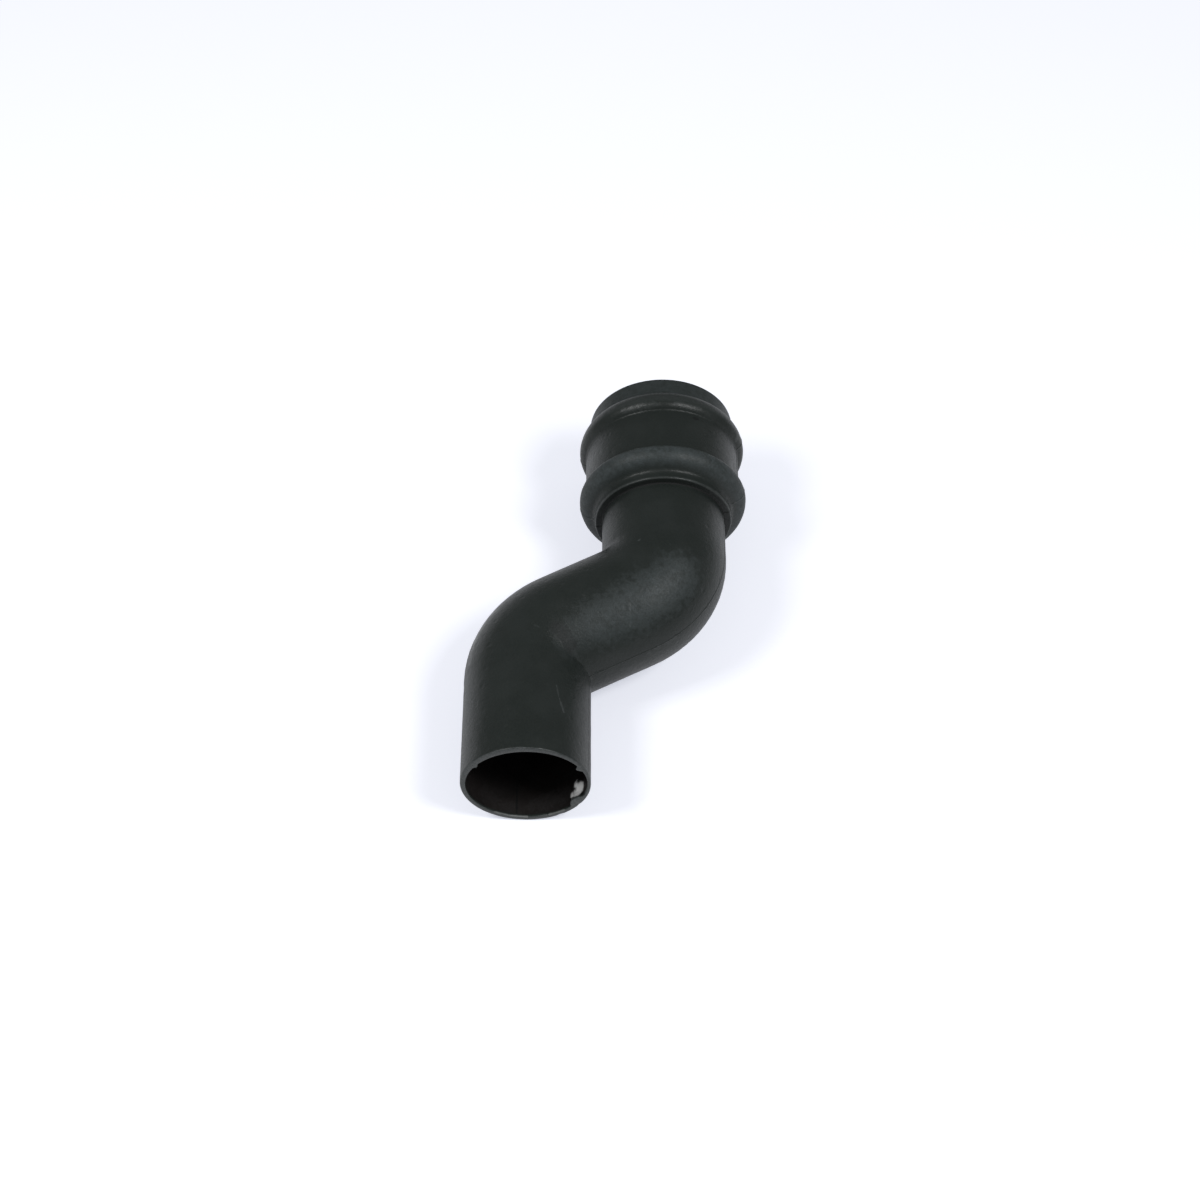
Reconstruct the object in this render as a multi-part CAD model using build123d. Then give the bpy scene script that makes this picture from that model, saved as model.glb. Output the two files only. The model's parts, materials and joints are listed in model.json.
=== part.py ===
from build123d import *
from math import asin, cos, degrees, radians, sin
import os

# A round downpipe offset, cast in one piece, in millimetres. Water comes in at the socket, goes
# round two equal bends and leaves at the plain spigot, which drops into the pipe below.
# It is drawn with both bends in the XY plane, the spigot's end at the origin and both legs along
# +Y, and is then rolled over to the side that it rests on when it lies on a floor.

# Pipe: both bends, the slant between them and the upper leg share one section. The spigot is
# dressed down a touch so that it enters a socket, with a short taper back up before the bend.
pipe_diameter = 68.0
wall = 3.0
spigot_length = 64.0
spigot_dressing = 0.1
spigot_taper = 2.0
upper_leg_length = 27.5
rim_round = 0.8

# Offset: the distance between the axes of the two legs, and how the run gets across it
offset = 75.0
bend_angle = 67.5
bend_radius = 32.0

# Socket: its length runs from the shoulder to the mouth, and its depth from the stop to the mouth
socket_length = 71.5
socket_depth = 62.0
socket_clearance = 3.0
lip_wall = 3.5
barrel_wall = 6.0
shoulder_step = 4.0
shoulder_round = 1.0
mouth_round = 1.0
foot_fillet = 0.8

# Beads: two half-round bands round the socket, placed by their crests from the shoulder
bead_height = 3.5
lower_crest = 14.5
lower_front = 8.5
lower_back = 4.0
upper_crest = 51.0
upper_front = 5.5
upper_back = 9.0

# Parting line: the fine ridge that the two halves of the mould leave along both sides
parting_height = 2.7
ridge_height = 0.2
ridge_width = 1.0
ridge_end_gap = 1.5

# Radii of the pipe and of the socket's steps, all taken from the pipe that the socket receives
pipe_radius = pipe_diameter / 2
spigot_radius = pipe_radius - spigot_dressing
waterway_radius = pipe_radius - wall
socket_bore_radius = pipe_radius + socket_clearance
lip_radius = socket_bore_radius + lip_wall
barrel_radius = socket_bore_radius + barrel_wall
bead_radius = barrel_radius + bead_height
shoulder_radius = pipe_radius + shoulder_step

# The slant's length follows from the offset that is left between the two bends
turn = radians(bend_angle)
slant_length = (offset - 2 * bend_radius * (1 - cos(turn))) / sin(turn)

# Centre line: the spigot, a bend to the right, the slant, a bend back and the upper leg
spigot_line = Line((0, 0), (0, spigot_length))
lower_arc = JernArc(spigot_line @ 1, spigot_line % 1, bend_radius, -bend_angle)
slant_line = Line(lower_arc @ 1, lower_arc @ 1 + slant_length * (lower_arc % 1))
upper_arc = JernArc(slant_line @ 1, slant_line % 1, bend_radius, bend_angle)
upper_line = Line(upper_arc @ 1, upper_arc @ 1 + upper_leg_length * (upper_arc % 1))
shoulder_place = (upper_line @ 1).Y
mouth_place = shoulder_place + socket_length
socket_axis = Axis(upper_line @ 0, upper_line % 0)


def straight(line, radius):
    """A straight run of the pipe, solid out to one radius."""
    start = Plane(origin=line @ 0, z_dir=line % 0)
    return extrude(start * Circle(radius), amount=line.length)


def bend(arc, radius):
    """One bend: a disc turned about the bend's own axis, solid out to one radius.

    The pipe is wider than the bend, so the disc is cut off at that axis, where the straight
    runs on either side meet in a crease.
    """
    centre = arc.arc_center
    outward = (arc @ 0 - centre).normalized()
    start = Plane(origin=arc @ 0, x_dir=outward, z_dir=arc % 0)
    outer_side = Rectangle(bend_radius + radius, 2 * radius, align=(Align.MIN, Align.CENTER))
    disc = Circle(radius) & Pos(-bend_radius, 0) * outer_side
    return revolve(start * disc, Axis(centre, outward.cross(arc % 0)), bend_angle)


def bends(radius):
    """Both bends with the slant between them, solid out to one radius."""
    return bend(lower_arc, radius) + straight(slant_line, radius) + bend(upper_arc, radius)


def spigot(grow):
    """The spigot turned from its profile: dressed from its end, then tapered up to the pipe."""
    dressed, full = spigot_radius + grow, pipe_radius + grow
    taper_start = spigot_length - spigot_taper
    side = [(0, 0), (dressed, 0), (dressed, taper_start), (full, spigot_length), (0, spigot_length)]
    return revolve(make_face(Polyline(side, close=True)), Axis.Y)


def point(radius, place):
    """A point of the socket's profile: its radius, and its place along the leg from the shoulder."""
    return Vector(offset + radius, shoulder_place + place)


def socket_side(grow):
    """The upper leg and the socket turned from one profile, with its steps and its two beads.

    Every radius is enlarged by grow, which the parting ridge uses to stand proud of the wall.
    """
    leg, shoulder = pipe_radius + grow, shoulder_radius + grow
    barrel, bead, lip = barrel_radius + grow, bead_radius + grow, lip_radius + grow
    leg_foot = point(leg, 0)
    shoulder_edge = point(shoulder, 0)
    lower_foot = point(shoulder, lower_crest - lower_front)
    lower_top = point(bead, lower_crest)
    barrel_start = point(barrel, lower_crest + lower_back)
    barrel_end = point(barrel, upper_crest - upper_front)
    upper_top = point(bead, upper_crest)
    lip_start = point(lip, upper_crest + upper_back)
    lip_end = point(lip, socket_length)
    along = Vector(0, 1)
    outline = [
        Line(point(0, -upper_leg_length), point(leg, -upper_leg_length)),
        Line(point(leg, -upper_leg_length), leg_foot),
        Line(leg_foot, shoulder_edge),
        Line(shoulder_edge, lower_foot),
        TangentArc(lower_top, lower_foot, tangent=-along),
        TangentArc(lower_top, barrel_start, tangent=along),
        Line(barrel_start, barrel_end),
        TangentArc(upper_top, barrel_end, tangent=-along),
        TangentArc(upper_top, lip_start, tangent=along),
        Line(lip_start, lip_end),
        Line(lip_end, point(0, socket_length)),
        Line(point(0, socket_length), point(0, -upper_leg_length)),
    ]
    profile = make_face(outline)
    feet = [leg_foot, lower_foot, barrel_start, barrel_end, lip_start]
    profile = soften(profile, feet, foot_fillet)
    profile = soften(profile, [shoulder_edge], shoulder_round)
    profile = soften(profile, [lip_end], mouth_round)
    return revolve(profile, socket_axis)


def soften(profile, corners, radius):
    """Round the profile's corners at the given points."""
    chosen = [profile.vertices().sort_by_distance(corner)[0] for corner in corners]
    return fillet(chosen, radius)


def outside(grow):
    """The casting's outer form, with every radius enlarged by grow."""
    return spigot(grow) + bends(pipe_radius + grow) + socket_side(grow)


def parting_ridge():
    """The ridge at the mould's joint, level with the bends and stopped short of both ends."""
    width = offset + 2 * (bead_radius + ridge_height)
    length = mouth_place - 2 * ridge_end_gap
    layer = Box(width, length, ridge_width, align=(Align.CENTER, Align.MIN, Align.CENTER))
    return outside(ridge_height) & (Pos(offset / 2, ridge_end_gap, parting_height) * layer)


def waterway():
    """All that the core leaves open: the pipe's bore up to the stop, then the socket's bore."""
    stop_place = socket_length - socket_depth
    bore_start = Plane(origin=upper_line @ 0, z_dir=upper_line % 0)
    upper_bore = extrude(bore_start * Circle(waterway_radius), upper_leg_length + stop_place)
    socket_start = Plane(origin=point(0, stop_place), z_dir=upper_line % 0)
    socket_bore = extrude(socket_start * Circle(socket_bore_radius), socket_depth)
    spigot_bore = straight(spigot_line, waterway_radius)
    return spigot_bore + bends(waterway_radius) + upper_bore + socket_bore


def rim(solid, place, radius):
    """The circular edge of one radius round an open end, found to within a small distance."""
    near = 0.01
    circles = solid.edges().filter_by(GeomType.CIRCLE)
    at_end = [edge for edge in circles if abs((edge @ 0).Y - place) < near]
    return [edge for edge in at_end if abs(edge.radius - radius) < near]


def downpipe_offset():
    """The casting as drawn: the outer form and its ridge, less the waterway, with rounded rims."""
    casting = (outside(0) + parting_ridge()) - waterway()
    casting = fillet(rim(casting, 0, spigot_radius), rim_round)
    casting = fillet(rim(casting, 0, waterway_radius), rim_round)
    return fillet(rim(casting, mouth_place, socket_bore_radius), mouth_round)


def laid_down(casting):
    """Roll the casting on to its pipe and its beads, and centre it over the floor at Z = 0."""
    roll = degrees(asin((bead_radius - pipe_radius) / offset))
    rolled = Rot(0, -roll, 0) * casting
    middle = rolled.bounding_box().center()
    return Pos(-middle.X, -middle.Y, pipe_radius) * rolled


os.makedirs("parts", exist_ok=True)
export_step(laid_down(downpipe_offset()), "parts/downpipe_offset.step")
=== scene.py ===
import json
import logging
import math
from collections.abc import Callable, Iterator
from contextlib import contextmanager
from dataclasses import dataclass, field
from enum import Enum

import bmesh
import bpy
from mathutils import Matrix, Vector

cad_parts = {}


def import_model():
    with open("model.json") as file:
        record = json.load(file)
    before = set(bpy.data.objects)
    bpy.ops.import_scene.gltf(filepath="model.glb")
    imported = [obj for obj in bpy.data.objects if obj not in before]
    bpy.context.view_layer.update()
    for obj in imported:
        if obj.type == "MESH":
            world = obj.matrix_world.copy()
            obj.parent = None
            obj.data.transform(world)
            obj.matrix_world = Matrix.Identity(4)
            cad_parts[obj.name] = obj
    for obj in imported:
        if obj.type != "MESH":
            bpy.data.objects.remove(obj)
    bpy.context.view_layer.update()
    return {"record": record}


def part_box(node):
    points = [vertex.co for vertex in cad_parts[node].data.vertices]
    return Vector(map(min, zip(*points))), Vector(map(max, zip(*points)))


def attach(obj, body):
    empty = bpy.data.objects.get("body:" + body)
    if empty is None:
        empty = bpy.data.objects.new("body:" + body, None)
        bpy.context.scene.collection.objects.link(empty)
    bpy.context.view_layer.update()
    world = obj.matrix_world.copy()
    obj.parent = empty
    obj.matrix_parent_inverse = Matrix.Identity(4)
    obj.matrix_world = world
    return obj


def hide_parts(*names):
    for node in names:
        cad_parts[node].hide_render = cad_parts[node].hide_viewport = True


# A round downpipe offset, cast in one piece and coated matt black, lying on a pale floor.
# It is modelled as its maker would draw it, with both bends in the XY plane, the spigot's end at
# the origin and both legs along +Y, and is rolled over to the place that the frame gives it last.

MM = 0.001
NODE = "downpipe_offset"
PIECE = "offset_casting"
SMOOTH_ANGLE = math.radians(38.0)

Place = tuple[float, float, float]
Colour = tuple[float, float, float, float]
Pair = tuple[float, float]
Profile = list[Pair]
Wanted = Callable[[Vector], bool]
Piece = bpy.types.Object
Socket = bpy.types.NodeSocket
Tree = bpy.types.NodeTree

log = logging.getLogger("offset")


class Skin(Enum):
    """The two skins of the cast wall. The value names a skin's group of points."""

    OUTER = "outer_skin"
    CORE = "core_skin"


class Kind(Enum):
    """What a mark on the coating is."""

    # Scuffs, and painted highlights where the lamps shine on the beads.
    SCUFF = "scuff"
    # Stained places, and painted shade.
    STAIN = "stain"
    # Rough patches with painted sheen.
    DULL = "dull"
    BARE = "bare"


@contextmanager
def editing(piece: Piece) -> Iterator[None]:
    """Open one piece in edit mode with nothing selected, and close it again.

    Args:
        piece: The mesh object to open.
    """
    bpy.ops.object.select_all(action="DESELECT")
    piece.select_set(True)
    bpy.context.view_layer.objects.active = piece
    bpy.ops.object.mode_set(mode="EDIT")
    bpy.ops.mesh.select_mode(type="VERT")
    bpy.ops.mesh.select_all(action="DESELECT")
    try:
        yield
    finally:
        bpy.ops.object.mode_set(mode="OBJECT")


def select(piece: Piece, mode: str, choose: Callable[[bmesh.types.BMesh], list]) -> int:
    """Select some elements of an open piece, and nothing else.

    Args:
        piece: The piece, in edit mode.
        mode: What is selected: VERT, EDGE or FACE.
        choose: Gives the elements to select, from the edit mesh.

    Returns:
        How many elements were selected.
    """
    bpy.ops.mesh.select_mode(type=mode)
    bpy.ops.mesh.select_all(action="DESELECT")
    mesh = bmesh.from_edit_mesh(piece.data)
    chosen = choose(mesh)
    for element in chosen:
        element.select_set(True)
    mesh.select_flush_mode()
    bmesh.update_edit_mesh(piece.data)
    return len(chosen)


def pick(piece: Piece, wanted: Wanted) -> int:
    """Select the points of an open piece whose place is wanted."""
    return select(piece, "VERT", lambda mesh: [vert for vert in mesh.verts if wanted(vert.co)])


def pick_edges(piece: Piece, wanted: Wanted) -> int:
    """Select the edges of an open piece that have both ends where they are wanted."""

    def choose(mesh: bmesh.types.BMesh) -> list[bmesh.types.BMEdge]:
        return [edge for edge in mesh.edges if all(wanted(vert.co) for vert in edge.verts)]

    return select(piece, "EDGE", choose)


def pick_faces(piece: Piece, wanted: Wanted) -> int:
    """Select the faces of an open piece whose middle is where it is wanted."""

    def choose(mesh: bmesh.types.BMesh) -> list[bmesh.types.BMFace]:
        return [face for face in mesh.faces if wanted(face.calc_center_median())]

    return select(piece, "FACE", choose)


def settle(piece: Piece, matrix: Matrix) -> None:
    """Carry a piece to a new place and leave its object unturned and unscaled at the origin.

    Args:
        piece: The piece to carry.
        matrix: Where it goes.
    """
    bpy.ops.object.select_all(action="DESELECT")
    piece.select_set(True)
    bpy.context.view_layer.objects.active = piece
    piece.matrix_world = matrix
    bpy.ops.object.transform_apply(location=True, rotation=True, scale=True)


def join(pieces: list[Piece], gap: float) -> Piece:
    """Join pieces into the first one and close the seams where they meet.

    Args:
        pieces: The pieces, of which the first keeps its name.
        gap: Points nearer than this become one.

    Returns:
        The joined piece.
    """
    bpy.ops.object.select_all(action="DESELECT")
    for piece in pieces:
        piece.select_set(True)
    bpy.context.view_layer.objects.active = pieces[0]
    bpy.ops.object.join()
    with editing(pieces[0]):
        bpy.ops.mesh.select_all(action="SELECT")
        bpy.ops.mesh.remove_doubles(threshold=gap)
        bpy.ops.mesh.dissolve_degenerate(threshold=gap)
        bpy.ops.mesh.select_all(action="SELECT")
        bpy.ops.mesh.delete_loose()
        bpy.ops.mesh.select_all(action="SELECT")
        bpy.ops.mesh.normals_make_consistent(inside=False)
    return pieces[0]


def mark_skin(piece: Piece, skin: Skin) -> None:
    """Gather all the points of a piece in the group of one skin."""
    group = piece.vertex_groups.new(name=skin.value)
    group.add(range(len(piece.data.vertices)), 1.0, "REPLACE")


@dataclass(frozen=True)
class Swell:
    """A place where the skin swells or sinks smoothly, as a cast skin does at a flaw, in millimetres.

    Args:
        middle: Its middle, on the skin.
        move: How far, and which way, the middle moves.
        core: Points this near the middle move all the way.
        reach: Points up to this far beyond them are drawn along.
    """

    middle: Place
    move: Place
    core: float
    reach: float

    def press(self, piece: Piece) -> None:
        """Move the skin of an open piece, with a smooth fall-off.

        Args:
            piece: The piece, in edit mode.
        """
        middle = Vector(self.middle) * MM
        found = pick(piece, lambda place: (place - middle).length < self.core * MM)
        bpy.ops.transform.translate(
            value=Vector(self.move) * MM,
            use_proportional_edit=True,
            use_proportional_connected=True,
            proportional_edit_falloff="SMOOTH",
            proportional_size=self.reach * MM,
        )
        log.info("swell at %.0f, %.0f, %.0f mm: %d points", *self.middle, found)


@dataclass(frozen=True)
class Waves:
    """The slight waves that sand leaves in one skin of a casting.

    Args:
        depth: How far apart the waves' tops and bottoms may lie.
        middle: Which share of that depth lies inside the drawn skin.
        grain: How wide the waves are.
    """

    depth: float
    middle: float
    grain: float


@dataclass(frozen=True)
class Bead:
    """One half-round band of the socket, placed by its crest from the shoulder.

    Args:
        crest: Where it stands highest.
        front: How far it reaches towards the shoulder.
        back: How far it reaches towards the mouth.
        foot_front: The socket's radius at its front foot.
        foot_back: The socket's radius at its back foot.
    """

    crest: float
    front: float
    back: float
    foot_front: float
    foot_back: float

    def profile(self, top: float, steps: int) -> Profile:
        """Give the band's section as places along the leg and radii.

        Args:
            top: The radius at the crest.
            steps: How many points each side of the crest has.

        Returns:
            The points from the front foot, over the crest, to the back foot.
        """
        upward, downward = range(steps, 0, -1), range(1, steps + 1)
        rise = [self.flank(top, self.front, self.foot_front, steps, index) for index in upward]
        fall = [self.flank(top, self.back, self.foot_back, steps, index) for index in downward]
        front = [(self.crest - along, radius) for along, radius in rise]
        back = [(self.crest + along, radius) for along, radius in fall]
        return front + [(self.crest, top)] + back

    @staticmethod
    def flank(top: float, reach: float, foot: float, steps: int, index: int) -> Pair:
        """Give one point of a flank, which is an arc that is level at the crest.

        Args:
            top: The radius at the crest.
            reach: How far the flank's foot lies from the crest.
            foot: The radius at the foot.
            steps: How many points the flank has.
            index: Which of them is wanted, counted from the crest.

        Returns:
            The point's distance from the crest, and its radius.
        """
        height = top - foot
        curve = (reach * reach + height * height) / (2 * height)
        end = math.atan2(reach, curve - height)
        angle = end * index / steps
        return curve * math.sin(angle), top - curve * (1 - math.cos(angle))


@dataclass
class Lie:
    """How the drawn casting lies on the floor: its roll, and the place of its spigot's end."""

    offset: float
    roll: float
    start: Vector

    @classmethod
    def from_frame(cls, record: dict) -> "Lie":
        """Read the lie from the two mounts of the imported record.

        Args:
            record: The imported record.

        Returns:
            The lie of the casting.
        """
        mounts = {mount["name"]: mount for mount in record["mounts"]}
        spigot = Vector(mounts["spigot_pin"]["pos_m"])
        socket = Vector(mounts["socket_bore"]["pos_m"])
        low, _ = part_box(NODE)
        across = Vector((socket.x - spigot.x, 0.0, socket.z - spigot.z))
        return cls(
            offset=across.length,
            roll=math.atan2(across.z, across.x),
            start=Vector((spigot.x, low.y, spigot.z)),
        )

    def matrix(self) -> Matrix:
        """Give the move from the drawing to the floor."""
        return Matrix.Translation(self.start) @ Matrix.Rotation(-self.roll, 4, "Y")


@dataclass
class Casting:
    """The offset's one casting, with its two skins, its rims and its parting ridge.

    Lengths are in metres. The spigot's and the socket's radii and the offset come from the frame.
    """

    offset: float
    spigot_radius: float
    socket_bore_radius: float
    socket_clearance: float = 3.0 * MM
    wall: float = 3.0 * MM
    spigot_length: float = 64.0 * MM
    spigot_taper: float = 2.0 * MM
    upper_leg_length: float = 27.5 * MM
    bend_angle: float = math.radians(67.5)
    bend_radius: float = 32.0 * MM
    socket_length: float = 71.5 * MM
    socket_depth: float = 62.0 * MM
    lip_wall: float = 3.5 * MM
    barrel_wall: float = 6.0 * MM
    shoulder_step: float = 4.0 * MM
    bead_height: float = 3.5 * MM
    lower_crest: float = 14.5 * MM
    lower_front: float = 8.5 * MM
    lower_back: float = 4.0 * MM
    upper_crest: float = 51.0 * MM
    upper_front: float = 5.5 * MM
    upper_back: float = 9.0 * MM
    shoulder_round: float = 1.0 * MM
    foot_fillet: float = 0.8 * MM
    soft_foot: float = 2.0 * MM
    soft_passes: int = 5
    rim_round: float = 0.8 * MM
    bore_round: float = 0.5 * MM
    mouth_round: float = 1.0 * MM
    parting_height: float = 2.7 * MM
    ridge_width: float = 1.0 * MM
    ridge_height: float = 0.2 * MM
    ridge_end_gap: float = 1.5 * MM
    core_growth: float = 0.6 * MM
    core_flatness: float = 0.962
    core_shift: Place = (0.45 * MM, 0.0, -0.35 * MM)
    columns: int = 180
    pitch: float = 1.5 * MM
    bend_steps: int = 7
    flank_steps: int = 7
    crease_reach: float = 2.2 * MM
    crease_passes: int = 2
    outer_waves: Waves = Waves(0.12 * MM, 1.0, 7.0 * MM)
    core_waves: Waves = Waves(0.5 * MM, 0.5, 6.0 * MM)
    weld: float = 0.02 * MM
    beads: list[Bead] = field(default_factory=list)

    def __post_init__(self) -> None:
        """Work out the radii and lengths that follow from the driving sizes."""
        self.pipe_radius = self.socket_bore_radius - self.socket_clearance
        self.bore_radius = self.pipe_radius - self.wall
        self.mid_wall = (self.spigot_radius + self.bore_radius) / 2
        self.lip_radius = self.socket_bore_radius + self.lip_wall
        self.barrel_radius = self.socket_bore_radius + self.barrel_wall
        self.bead_radius = self.barrel_radius + self.bead_height
        self.shoulder_radius = self.pipe_radius + self.shoulder_step
        sideways = self.offset - 2 * self.bend_radius * (1 - math.cos(self.bend_angle))
        self.slant_length = sideways / math.sin(self.bend_angle)
        forward = 2 * self.bend_radius * math.sin(self.bend_angle)
        forward += self.slant_length * math.cos(self.bend_angle)
        self.shoulder_place = self.spigot_length + forward + self.upper_leg_length
        self.mouth_place = self.shoulder_place + self.socket_length
        self.stop_place = self.mouth_place - self.socket_depth
        self.beads = [
            Bead(
                self.lower_crest, self.lower_front, self.lower_back,
                self.shoulder_radius, self.barrel_radius,
            ),
            Bead(
                self.upper_crest, self.upper_front, self.upper_back,
                self.barrel_radius, self.lip_radius,
            ),
        ]

    def half_elbow(self, name: str, radius: float, run: float) -> Piece:
        """Model a straight run of pipe with half a bend, trimmed where the bend turns back.

        Args:
            name: The piece's name.
            radius: The skin's radius.
            run: The straight run's length.

        Returns:
            The half elbow, with the bend's axis at the origin and the trimmed end on Y = 0.
        """
        half = self.bend_angle / 2
        bpy.ops.object.select_all(action="DESELECT")
        bpy.ops.mesh.primitive_circle_add(
            vertices=self.columns,
            radius=radius,
            location=(-self.bend_radius, -run, 0.0),
            rotation=(math.pi / 2, 0.0, 0.0),
        )
        piece = bpy.context.object
        piece.name = name
        settle(piece, piece.matrix_world.copy())
        steps = max(2, round(run / self.pitch))
        with editing(piece):
            bpy.ops.mesh.select_all(action="SELECT")
            for _ in range(steps):
                bpy.ops.mesh.extrude_region_move(TRANSFORM_OT_translate={"value": (0.0, run / steps, 0.0)})
            bpy.ops.mesh.spin(
                steps=self.bend_steps, angle=half, center=(0.0, 0.0, 0.0), axis=(0.0, 0.0, 1.0)
            )
            bpy.ops.mesh.select_all(action="SELECT")
            bpy.ops.mesh.bisect(
                plane_co=(0.0, 0.0, 0.0),
                plane_no=(math.sin(half), math.cos(half), 0.0),
                clear_outer=True,
                threshold=self.weld / 10,
            )
        settle(piece, Matrix.Rotation(half, 4, "Z"))
        return piece

    def elbow(self, name: str, radius: float, run_before: float, run_after: float) -> Piece:
        """Model one bend with its two straight runs.

        Args:
            name: The piece's name.
            radius: The skin's radius.
            run_before: The straight run's length before the bend.
            run_after: The straight run's length after it.

        Returns:
            The elbow, with the bend's axis at the origin and its middle on Y = 0.
        """
        before = self.half_elbow(name, radius, run_before)
        after = self.half_elbow(name + "_after", radius, run_after)
        settle(after, Matrix.Scale(-1.0, 4, (0.0, 1.0, 0.0)))
        piece = join([before, after], self.weld)
        reach = self.crease_reach
        with editing(piece):
            pick(piece, lambda place: abs(place.y) < reach and place.x > -2 * reach)
            bpy.ops.mesh.vertices_smooth(factor=0.5, repeat=self.crease_passes)
        return piece

    def run(self, name: str, radius: float, leg: float) -> Piece:
        """Model the spigot, both bends, the slant and the upper leg as one open skin.

        Args:
            name: The piece's name.
            radius: The skin's radius.
            leg: The upper leg's length.

        Returns:
            The skin, in the drawing's frame.
        """
        lower = self.elbow(name, radius, self.spigot_length, self.slant_length / 2)
        upper = self.elbow(name + "_upper", radius, leg, self.slant_length / 2)
        turn = Matrix.Rotation(-self.bend_angle / 2, 4, "Z")
        settle(lower, Matrix.Translation((self.bend_radius, self.spigot_length, 0.0)) @ turn)
        upper_axis = (self.offset - self.bend_radius, self.shoulder_place - self.upper_leg_length, 0.0)
        half_turn = Matrix.Rotation(math.pi, 4, "Z")
        settle(upper, Matrix.Translation(upper_axis) @ half_turn @ turn)
        return join([lower, upper], self.weld)

    def extend(self, piece: Piece, start: float, size: float, profile: Profile) -> None:
        """Draw the upper leg's open end out along a profile, ring by ring.

        Args:
            piece: The skin to draw out.
            start: The open end's place along the leg.
            size: The open end's radius.
            profile: The next rings' places from the shoulder, with their radii.
        """
        near = self.weld
        with editing(piece):
            pick_edges(piece, lambda place: place.y > start - near)
            here = start
            for place, radius in profile:
                there = self.shoulder_place + place
                move = {"value": (0.0, there - here, 0.0)}
                bpy.ops.mesh.extrude_region_move(TRANSFORM_OT_translate=move)
                bpy.ops.transform.resize(
                    value=(radius / size, 1.0, radius / size), center_override=(self.offset, there, 0.0)
                )
                here, size = there, radius

    def evenly(self, start: float, end: float, radius: float) -> Profile:
        """Give rings of one radius at an even pitch, without the first."""
        count = max(1, round((end - start) / self.pitch))
        return [(start + (end - start) * index / count, radius) for index in range(1, count + 1)]

    def outer_profile(self) -> Profile:
        """Give the socket's outside from the shoulder to the mouth."""
        lower, upper = self.beads
        profile = [(0.0, self.shoulder_radius)]
        profile += self.evenly(0.0, lower.crest - lower.front, self.shoulder_radius)
        profile += lower.profile(self.bead_radius, self.flank_steps)[1:]
        profile += self.evenly(lower.crest + lower.back, upper.crest - upper.front, self.barrel_radius)
        profile += upper.profile(self.bead_radius, self.flank_steps)[1:]
        profile += self.evenly(upper.crest + upper.back, self.socket_length, self.lip_radius)
        return profile

    def bevel_ring(
        self, piece: Piece, axis: float, place: float, radius: float, size: float
    ) -> None:
        """Round the edge of one ring of an open piece.

        Args:
            piece: The piece, in edit mode.
            axis: The X of the leg that the ring is on.
            place: The ring's place along the leg.
            radius: The ring's radius.
            size: How much of each side the rounding takes.
        """
        near = self.weld * 4

        def on_ring(point: Vector) -> bool:
            across = math.hypot(point.x - axis, point.z)
            return abs(point.y - place) < near and abs(across - radius) < near

        found = pick_edges(piece, on_ring)
        bpy.ops.mesh.bevel(offset=size, offset_type="OFFSET", segments=3, affect="EDGES")
        log.info("rounded ring at %.1f mm, radius %.1f mm: %d edges", place / MM, radius / MM, found)

    def outer_skin(self) -> Piece:
        """Model the outside, from the spigot's end to the mouth."""
        skin = self.run(Skin.OUTER.value, self.pipe_radius, self.upper_leg_length)
        self.extend(skin, self.shoulder_place, self.pipe_radius, self.outer_profile())
        lower, upper = self.beads
        corners = [
            (0.0, self.pipe_radius, self.foot_fillet),
            (0.0, self.shoulder_radius, self.shoulder_round),
            (lower.crest + lower.back, self.barrel_radius, self.foot_fillet),
            (upper.crest - upper.front, self.barrel_radius, self.foot_fillet),
            (upper.crest + upper.back, self.lip_radius, self.foot_fillet),
        ]
        with editing(skin):
            for place, radius, size in corners:
                self.bevel_ring(skin, self.offset, self.shoulder_place + place, radius, size)
            foot = self.shoulder_place + lower.crest - lower.front
            pick(skin, lambda place: abs(place.y - foot) < self.soft_foot)
            bpy.ops.mesh.vertices_smooth(factor=0.5, repeat=self.soft_passes)
            pick(skin, lambda place: place.y < self.spigot_length - self.spigot_taper)
            dressing = self.spigot_radius / self.pipe_radius
            bpy.ops.transform.resize(value=(dressing, 1.0, dressing), center_override=(0.0, 0.0, 0.0))
        self.raise_ridge(skin)
        mark_skin(skin, Skin.OUTER)
        return skin

    def raise_ridge(self, skin: Piece) -> None:
        """Cut the parting line into the skin, short of both ends, and raise it as a fine ridge."""
        half = self.ridge_width / 2
        first, last = self.ridge_end_gap, self.mouth_place - self.ridge_end_gap
        near = self.weld * 2
        with editing(skin):
            for height in (self.parting_height - half, self.parting_height, self.parting_height + half):
                pick_faces(skin, lambda place: first < place.y < last)
                bpy.ops.mesh.bisect(
                    plane_co=(0.0, 0.0, height), plane_no=(0.0, 0.0, 1.0), threshold=self.weld
                )
            found = pick(skin, lambda place: abs(place.z - self.parting_height) < near and place.y > first)
            bpy.ops.transform.shrink_fatten(value=self.ridge_height)
        log.info("parting ridge: %d points", found)

    def core_skin(self) -> Piece:
        """Model the waterway and the socket's bore, as the core leaves them.

        The core is a little wider than it is high, it lies a little low and to the right in the
        mould, and its end is chipped.
        """
        leg = self.upper_leg_length + self.stop_place - self.shoulder_place
        skin = self.run(Skin.CORE.value, self.bore_radius + self.core_growth, leg)
        flatten = Matrix.Scale(self.core_flatness, 4, (0.0, 0.0, 1.0))
        settle(skin, Matrix.Translation(self.core_shift) @ flatten)
        with editing(skin):
            for chip in self.chips():
                chip.press(skin)
        self.open_socket(skin)
        mark_skin(skin, Skin.CORE)
        return skin

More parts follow.
